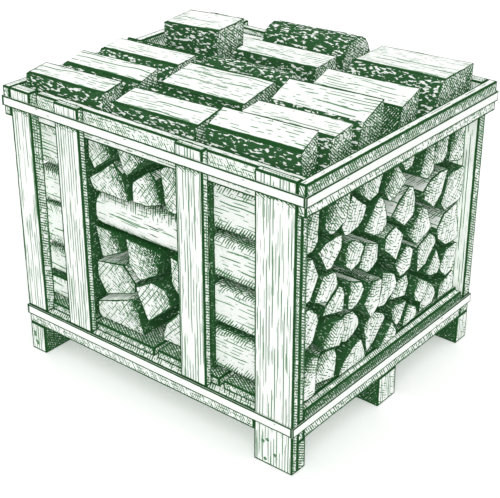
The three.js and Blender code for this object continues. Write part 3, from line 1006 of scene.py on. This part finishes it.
def carve_log(carving, outline, axis, shown, hidden, seed, ends, dark_side, taper=1.0, foot=None):
    """Adds one split log to a carving, from the end that shows to the other one.

    ends gives the lightest and darkest painted shade of each of the two ends, or None for an
    end that is painted solid dark as shade, and dark_side the direction across the log in which
    the painted shade on its ends deepens.
    """
    log = settings().logs
    rng = random.Random(seed)
    length = hidden - shown
    step = math.copysign(log.rim, length)
    parts = max(2, math.ceil(abs(length) / log.slice_length))
    stops = [0.0, step] + [length * i / parts for i in range(1, parts)] + [length - step, length]
    middle = foot or centre_of(outline.points)
    lean = (rng.uniform(-END_LEAN, END_LEAN), rng.uniform(-END_LEAN, END_LEAN))
    shift = Vector((rng.uniform(0, 50), rng.uniform(0, 50), rng.uniform(0, 50)))
    rings = []
    for number, stop in enumerate(stops):
        size = 1.0 + (taper - 1.0) * stop / length
        at_end = number in (0, len(stops) - 1)
        ring = []
        for i, (u, v) in enumerate(outline.points):
            bark_here = outline.slots[i] == BARK or outline.slots[i - 1] == BARK
            waves = BARK_WAVES if bark_here else CLEFT_WAVES
            where = Vector((stop * waves, u * CROSS_WAVES, v * CROSS_WAVES)) + shift
            rough = 0.5 + 0.5 * noise.noise(where) + 0.25 * noise.noise(where * 2.7)
            depth = log.bark_relief if bark_here else log.cleft_relief
            if outline.edges[i] == 0.0 and not bark_here:
                depth *= ARRIS_RELIEF
            inward = outline.inward[i] * depth * max(0.0, rough)
            slide = outline.slides[i] * LIP_SWAY * noise.noise(Vector((stop * 45, u * 40, seed)))
            place_uv = (middle[0] + (u - middle[0]) * size + inward.x + slide.x,
                        middle[1] + (v - middle[1]) * size + inward.y + slide.y)
            slant = abs(lean[0] * (u - middle[0]) + lean[1] * (v - middle[1])) if at_end else 0.0
            along = shown + stop + math.copysign(slant, length) * (1 if number == 0 else -1)
            ring.append(carving.point(stand(axis, along, place_uv), 0.0 if at_end else outline.edges[i]))
        rings.append(ring)
    count = len(outline.points)
    for number in range(len(rings) - 1):
        near, far = rings[number], rings[number + 1]
        for i in range(count):
            j = (i + 1) % count
            grain = [(stops[number], outline.walk[i], seed), (stops[number], outline.walk[i + 1], seed),
                     (stops[number + 1], outline.walk[i + 1], seed),
                     (stops[number + 1], outline.walk[i], seed)]
            first, last = outline.tones[i]
            carving.face((near[i], near[j], far[j], far[i]), outline.slots[i], grain,
                         [first, last, last, first])
    heart = heart_of(outline.points)
    for ring, tones in ((rings[0], ends[0]), (rings[-1], ends[1])):
        close_end(carving, ring, heart, seed, tones, rng, axis, dark_side)


def heart_of(points):
    """The corner that was nearest the middle of the tree: the farthest one from all the others."""
    return max(points, key=lambda p: sum(math.dist(p, q) for q in points))


def close_end(carving, ring, heart, seed, tones, rng, axis, dark_side):
    """Closes a log with a sawn end: a rim for the ink line, then rings of facets to the middle."""
    across = (1, 2) if axis == 0 else (0, 2)
    spots = [carving.points[i] for i in ring]
    middle = sum(spots, Vector()) / len(spots)
    reach = max((spot - middle).length for spot in spots)
    loops = [ring]
    rim = settings().logs.rim
    insets = [[min(0.5, rim / max((middle - spot).length, 1e-6)) for spot in spots]]
    insets += [[share] * len(spots) for share in END_RINGS]
    for shares in insets:
        loops.append([carving.point(spot.lerp(middle, share), 1.0)
                      for spot, share in zip(spots, shares)])
    loops.append([carving.point(middle, 1.0)])
    turn = rng.uniform(-0.3, 0.3)
    dark = Vector(dark_side).normalized()

    def grain(index):
        spot = carving.points[index]
        a, b = spot[across[0]] - heart[0], spot[across[1]] - heart[1]
        return (a * math.cos(turn) - b * math.sin(turn), a * math.sin(turn) + b * math.cos(turn), seed)

    # Painted shade on the end: heavier towards the dark side; an end given no tones is solid dark.
    def tone(index):
        if tones is None:
            return 1.0
        spot = carving.points[index] - middle
        fall = Vector((spot[across[0]], spot[across[1]])).dot(dark) / reach
        share = min(1.0, max(0.0, 0.32 + 0.85 * fall))
        return tones[0] + (tones[1] - tones[0]) * share

    slot = DEEP if tones is None else END_GRAIN
    count = len(ring)
    for outer, inner in zip(loops, loops[1:]):
        for i in range(count):
            j = (i + 1) % count
            if len(inner) == 1:
                corners = (outer[i], inner[0], outer[j])
            else:
                corners = (outer[i], inner[i], inner[j], outer[j])
            carving.face(corners, slot, [grain(k) for k in corners], [tone(k) for k in corners])


# ---- Packed logs ----

TOP_LAYER = 45 * MM  # sides so close to the top of a stack look out of it
SIDE_LAYER = 48 * MM  # and so do sides so close to a side limit
BESIDE = 14 * MM  # a log that comes so close to a side limit lies against it
SHEET = 8 * MM  # the sheet behind a stack
SPLIT_AT = (0.64, 0.94)  # where a packed log is split off, as a share of its reach
PALE_TOPS = 0.35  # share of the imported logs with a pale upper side
BACKING = 60 * MM  # flat places so close to the hidden side belong to the sheet, not to a log


def packed_finish(side_limits, top, pale_top):
    """Side faces are painted dark between the logs, as the shade there, and are cleft wood where they look
    out of the stack.

    Some logs show a pale upper side as well, where the log above stands further in.
    """

    def choose(start, end, arc, outward):
        if outward.y > UPWARD and (pale_top or min(start[1], end[1]) > top - TOP_LAYER):
            return CLEFT
        for direction, limit in side_limits:
            near = all(abs(p[direction] - limit) < SIDE_LAYER for p in (start, end))
            if near and outward[direction] * math.copysign(1, limit) > 0.25:
                return CLEFT
        return DEEP

    return choose


def lying_shade(low, high, top):
    """The painted shade of a log seen from its side: light along the middle, closing up to both
    edges as over a rounded side, and most at the lower edge.

    Upper sides near the given top are painted dark all over, as the shade under the loose logs.
    """
    middle, half = (low + high) / 2, (high - low) / 2

    def tone(at, outward):
        if outward.y > UPWARD and at.y > top - TOP_LAYER:
            return 1.0
        away = (at.y - middle) / half
        share = max(0.0, (abs(away) - 0.44) / 0.56)
        upper = 0.76 if outward.y > UPWARD else 0.66
        return (0.92 if away < 0 else upper) * share ** 1.1

    return tone


def add_sheet(carving, low, high):
    """Adds the sheet behind a stack, which its logs are sunk into, painted solid dark as the shade deep in
    the stack.
    """
    corners = [carving.point(Vector((low.x if i & 1 else high.x, low.y if i & 2 else high.y,
                                     low.z if i & 4 else high.z)), 1.0) for i in range(8)]
    for face in ((0, 2, 3, 1), (4, 5, 7, 6), (0, 1, 5, 4), (2, 6, 7, 3), (0, 4, 6, 2), (1, 3, 7, 5)):
        around = [corners[i] for i in face]
        flat = max(range(3), key=lambda k: -len({carving.points[c][k] for c in around}))
        across = [k for k in range(3) if k != flat]
        grain = [(carving.points[c][across[0]], carving.points[c][across[1]], 5.0) for c in around]
        carving.face(around, DEEP, grain, [1.0] * 4)


def seam_shift():
    """How much further a bay's logs reach on the side of its narrow bay."""
    low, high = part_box("front_bay_lower_logs")
    return abs(abs(low.x) - abs(high.x))


def span(axis, first, second, low, high):
    """A box between two places on an axis, as wide and high as another one."""
    near, far = low.copy(), high.copy()
    near[axis], far[axis] = min(first, second), max(first, second)
    return near, far


def dress_stack(node, axis, sign, side_limits, dark_side):
    """Stands separate logs in the place of a packed stack, against a sheet at their hidden ends.

    The sheet of an end stack has a step in the middle: beside the narrow bay its logs are shorter.
    """
    log = settings().logs
    low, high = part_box(node)
    hidden = low[axis] if sign > 0 else high[axis]
    sheet = sign * SHEET
    shift = sign * seam_shift() if axis == 0 else 0.0
    carving = Carving()
    if shift:
        parts = (span(0, hidden, hidden + sheet, *span(1, 0, -sign * high.y, low, high)),
                 span(0, hidden + shift, hidden + shift + sheet, *span(1, 0, sign * high.y, low, high)),
                 span(0, hidden, hidden + shift + sheet, *span(1, 0, -sheet, low, high)))
    else:
        parts = (span(axis, hidden, hidden + sheet, low, high),)
    for part in parts:
        add_sheet(carving, *part)

    def beside(point):
        return any(abs(point[0] - limit) < BESIDE for _, limit in side_limits)

    for number, (height, points) in enumerate(end_outlines(node, axis, sign)):
        if abs(height - hidden) < BACKING:
            continue
        shorter = shift if any(p[0] * sign > 3 * MM for p in points) else 0.0
        rng = random.Random(log.seed * 1000 + number)

        def cut_at(point):
            if beside(point):
                return log.lying_corner
            return log.packed_corner * rng.uniform(0.4, 1.3)

        slim = slimmer(without_steps(points, 2 * MM), log.packed_inset)
        if not any(beside(point) for point in points):
            for _ in range(rng.choice((1, 1, 2))):
                turn = rng.uniform(0, math.tau)
                slim = cleft(slim, Vector((math.cos(turn), math.sin(turn))), rng.uniform(*SPLIT_AT))
            slim = without_steps(slim, 3 * MM)
        heights = [p[1] for p in slim]
        outline = Outline(worn(slim, cut_at),
                          packed_finish(side_limits, high.z, rng.random() < PALE_TOPS),
                          lying_shade(min(heights), max(heights), high.z))
        # Painted shade on the shown end: a little at random, more on the top row in the shadow from above,
        # and much more towards the dark side; the hidden end is solid dark.
        light = rng.uniform(0.0, 0.15) + (0.25 if max(heights) > high.z - 20 * MM else 0.0)
        shown = height - sign * log.recess * rng.random() ** 2
        carve_log(carving, outline, axis, shown, hidden + shorter + sheet * 0.8, number + rng.random(),
                  ((light, light + rng.uniform(0.50, 0.85)), None), dark_side)
    return carving


class KINDLING_OT_end_logs(bpy.types.Operator):
    """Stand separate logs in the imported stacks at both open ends"""

    bl_idname = "kindling.end_logs"
    bl_label = "End logs"

    def execute(self, context):
        for end, sign in (("right", 1), ("left", -1)):
            node = f"{end}_end_logs"
            low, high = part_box(node)
            # Painted shade on the log ends deepens to one side and upward.
            carving = dress_stack(node, 0, sign, [(0, low.y), (0, high.y)], (-0.75 * sign, 0.66))
            carving.build(f"{node}.logs", LOG_FINISHES, FIXED_BODY, "split_wood", node)
        return {"FINISHED"}


# The ends of the logs that lie along the crate in a bay: at least so tall, and between so wide.
LYING_TALL = 70 * MM
LYING_WIDE = (60 * MM, 140 * MM)


class KINDLING_OT_bay_logs(bpy.types.Operator):
    """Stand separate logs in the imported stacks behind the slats"""

    bl_idname = "kindling.bay_logs"
    bl_label = "Bay logs"

    def execute(self, context):
        for side, sign in (("front", -1), ("back", 1)):
            for level in ("lower", "upper"):
                node = f"{side}_bay_{level}_logs"
                # Painted shade on the log ends deepens to one side and a little upward.
                carving = dress_stack(node, 1, sign, [], (-0.8 * sign, 0.4))
                if level == "upper":
                    self.crib(carving, node, sign)
                carving.build(f"{node}.logs", LOG_FINISHES, FIXED_BODY, "split_wood", node)
        return {"FINISHED"}

    def crib(self, carving, node, sign):
        """Adds the one layer that lies along the crate, split logs side by side."""
        log = settings().logs
        low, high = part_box(node)
        far = high.x if sign < 0 else low.x
        for number, (height, points) in enumerate(end_outlines(node, 0, sign)):
            wide, tall = extent(points, 0), extent(points, 1)
            if tall < LYING_TALL or not LYING_WIDE[0] < wide < LYING_WIDE[1]:
                continue
            heights = [p[1] for p in points]
            slim = slimmer(without_steps(points, 2 * MM), 1 * MM)
            outline = Outline(worn(slim, lambda point: log.lying_corner),
                              lambda start, end, arc, outward: CLEFT,
                              lying_shade(min(heights), max(heights), high.z))
            # Painted shade on both ends of each lying log, deepening to one side and upward, and over its
            # rounded sides.
            carve_log(carving, outline, 0, height, far, 60.5 + number, ((0.2, 0.8), (0.2, 0.8)),
                      (0.8 * sign, 0.4))


# ---- Loose logs ----


def loose_finish(start, end, arc, outward):
    """Bark on the round side of a loose log, and a cleft face on the flat ones."""
    return BARK if arc else CLEFT


def loose_shade(at, outward):
    """Painted shade: none on top, heavy down the sides and underneath."""
    return 0.0 if outward.y > UPWARD else 0.8


class KINDLING_OT_loose_logs(bpy.types.Operator):
    """Stand split logs in the top layer, each one free to be lifted out"""

    bl_idname = "kindling.loose_logs"
    bl_label = "Loose logs"

    def execute(self, context):
        for number, node in enumerate(sorted(n for n in NODES if n.startswith("loose_log"))):
            (near, points), (far, far_points) = (
                max(end_outlines(node, 0, sign), key=lambda found: len(found[1])) for sign in (1, -1)
            )
            taper = extent(far_points, 0) / extent(points, 0)
            sides = [p[0] for p in points]
            foot = ((min(sides) + max(sides)) / 2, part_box(node)[0].z)
            carving = Carving()
            outline = Outline(points, loose_finish, loose_shade)
            # Painted shade: both ends of a loose log are heavily shaded, darkest to one side and downward.
            carve_log(carving, outline, 0, near, far, 200.25 + number,
                      ((0.62, 1.0), (0.62, 1.0)), (0.3, -0.9), taper=taper, foot=foot)
            carving.build(f"{node}.log", LOG_FINISHES, node, "split_wood", node)
        return {"FINISHED"}


def extent(points, direction):
    return max(p[direction] for p in points) - min(p[direction] for p in points)


# ---- Stage ----

# The camera stands over the near corner. Its shift keeps the uprights nearly parallel.
CAMERA_PLACE = (1.6723, -2.0662, 1.6735)
CAMERA_AZIMUTH = 0.6813
CAMERA_TILT = 0.4662
CAMERA_LENS = 87.8
CAMERA_SHIFT = (0.0, -0.05)
SUN_SPREAD = math.radians(35)


class KINDLING_OT_stage(bpy.types.Operator):
    """Set up the camera, the floor and the light"""

    bl_idname = "kindling.stage"
    bl_label = "Stage"

    def execute(self, context):
        self.camera(context.scene)
        self.floor(context.scene)
        self.light(context.scene)
        context.scene.view_settings.view_transform = "Standard"
        return {"FINISHED"}

    def camera(self, scene):
        data = bpy.data.cameras.new("Camera")
        data.sensor_fit = "HORIZONTAL"
        data.sensor_width = 36.0
        data.lens = CAMERA_LENS
        data.shift_x, data.shift_y = CAMERA_SHIFT
        data.clip_end = 100.0
        camera = bpy.data.objects.new("Camera", data)
        camera.matrix_world = (
            Matrix.Translation(CAMERA_PLACE)
            @ Matrix.Rotation(CAMERA_AZIMUTH, 4, "Z")
            @ Matrix.Rotation(math.pi / 2 - CAMERA_TILT, 4, "X")
        )
        scene.collection.objects.link(camera)
        scene.camera = camera

    def floor(self, scene):
        """A pale floor that takes the shadow and is lightened where it is looked at."""
        stage = settings().stage
        half = stage.floor_size / 2
        material = bpy.data.materials.new("Floor")
        paint = Nodes(material)
        paint.nodes.clear()
        rays = paint.node("ShaderNodeLightPath").outputs
        seen = paint.math("MAXIMUM", rays["Is Camera Ray"], rays["Is Glossy Ray"])
        seen = paint.math("MAXIMUM", seen, rays["Is Transmission Ray"])
        lift = paint.math("MULTIPLY", seen, stage.floor_lift)
        pale = paint.node("ShaderNodeBsdfDiffuse", {"Color": (*stage.floor_color, 1.0)})
        glow = paint.node("ShaderNodeEmission", {"Strength": lift})
        both = paint.node("ShaderNodeAddShader", {0: pale.outputs[0], 1: glow.outputs[0]})
        paint.node("ShaderNodeOutputMaterial", {"Surface": both.outputs[0]})
        mesh = bpy.data.meshes.new("Floor")
        corners = [(-half, -half, 0), (half, -half, 0), (half, half, 0), (-half, half, 0)]
        mesh.from_pydata(corners, [], [(0, 1, 2, 3)])
        mesh.materials.append(material)
        floor = bpy.data.objects.new("Floor", mesh)
        scene.collection.objects.link(floor)

    def light(self, scene):
        """Even light from all round, and one soft sun."""
        stage = settings().stage
        scene.world = bpy.data.worlds.new("Sky")
        paint = Nodes(scene.world)
        rays = paint.node("ShaderNodeLightPath").outputs
        reach = paint.node("ShaderNodeMapRange", {
            "Value": rays["Is Camera Ray"], "To Min": stage.sky_strength, "To Max": 1.0,
        })
        sky = paint.nodes["Background"]
        paint.put(sky.inputs["Color"], (1, 1, 1, 1))
        paint.put(sky.inputs["Strength"], reach.outputs["Result"])
        data = bpy.data.lights.new("Sun", "SUN")
        data.energy = stage.sun_strength
        data.angle = SUN_SPREAD
        sun = bpy.data.objects.new("Sun", data)
        sun.rotation_euler = Vector(stage.sun_direction).to_track_quat("Z", "Y").to_euler()
        scene.collection.objects.link(sun)


# ---- Add-on ----


class KindlingCrateSettings(bpy.types.PropertyGroup):
    """All the settings of the crate."""

    stage: PointerProperty(type=CrateStageSettings)
    ink: PointerProperty(type=CrateInkSettings)
    boards: PointerProperty(type=CrateBoardSettings)
    logs: PointerProperty(type=CrateLogSettings)


OPERATORS = (
    KINDLING_OT_stage,
    KINDLING_OT_uprights,
    KINDLING_OT_rails,
    KINDLING_OT_base,
    KINDLING_OT_bands,
    KINDLING_OT_nails,
    KINDLING_OT_end_logs,
    KINDLING_OT_bay_logs,
    KINDLING_OT_loose_logs,
)


class KINDLING_PT_panel(bpy.types.Panel):
    """Lists the steps that dress the crate"""

    bl_idname = "KINDLING_PT_panel"
    bl_label = "Kindling Crate"
    bl_space_type = "VIEW_3D"
    bl_region_type = "UI"
    bl_category = "Kindling Crate"

    def draw(self, context):
        for operator in OPERATORS:
            self.layout.operator(operator.bl_idname)


CLASSES = (
    CrateStageSettings,
    CrateInkSettings,
    CrateBoardSettings,
    CrateLogSettings,
    KindlingCrateSettings,
    *OPERATORS,
    KINDLING_PT_panel,
)


def register():
    for cls in CLASSES:
        bpy.utils.register_class(cls)
    bpy.types.Scene.kindling_crate = PointerProperty(type=KindlingCrateSettings)


def unregister():
    del bpy.types.Scene.kindling_crate
    for cls in reversed(CLASSES):
        bpy.utils.unregister_class(cls)


def main():
    register()
    bpy.ops.kindling.stage()
    bpy.ops.kindling.uprights()
    bpy.ops.kindling.rails()
    bpy.ops.kindling.base()
    bpy.ops.kindling.bands()
    bpy.ops.kindling.nails()
    bpy.ops.kindling.end_logs()
    bpy.ops.kindling.bay_logs()
    bpy.ops.kindling.loose_logs()


if __name__ == "__main__":
    main()
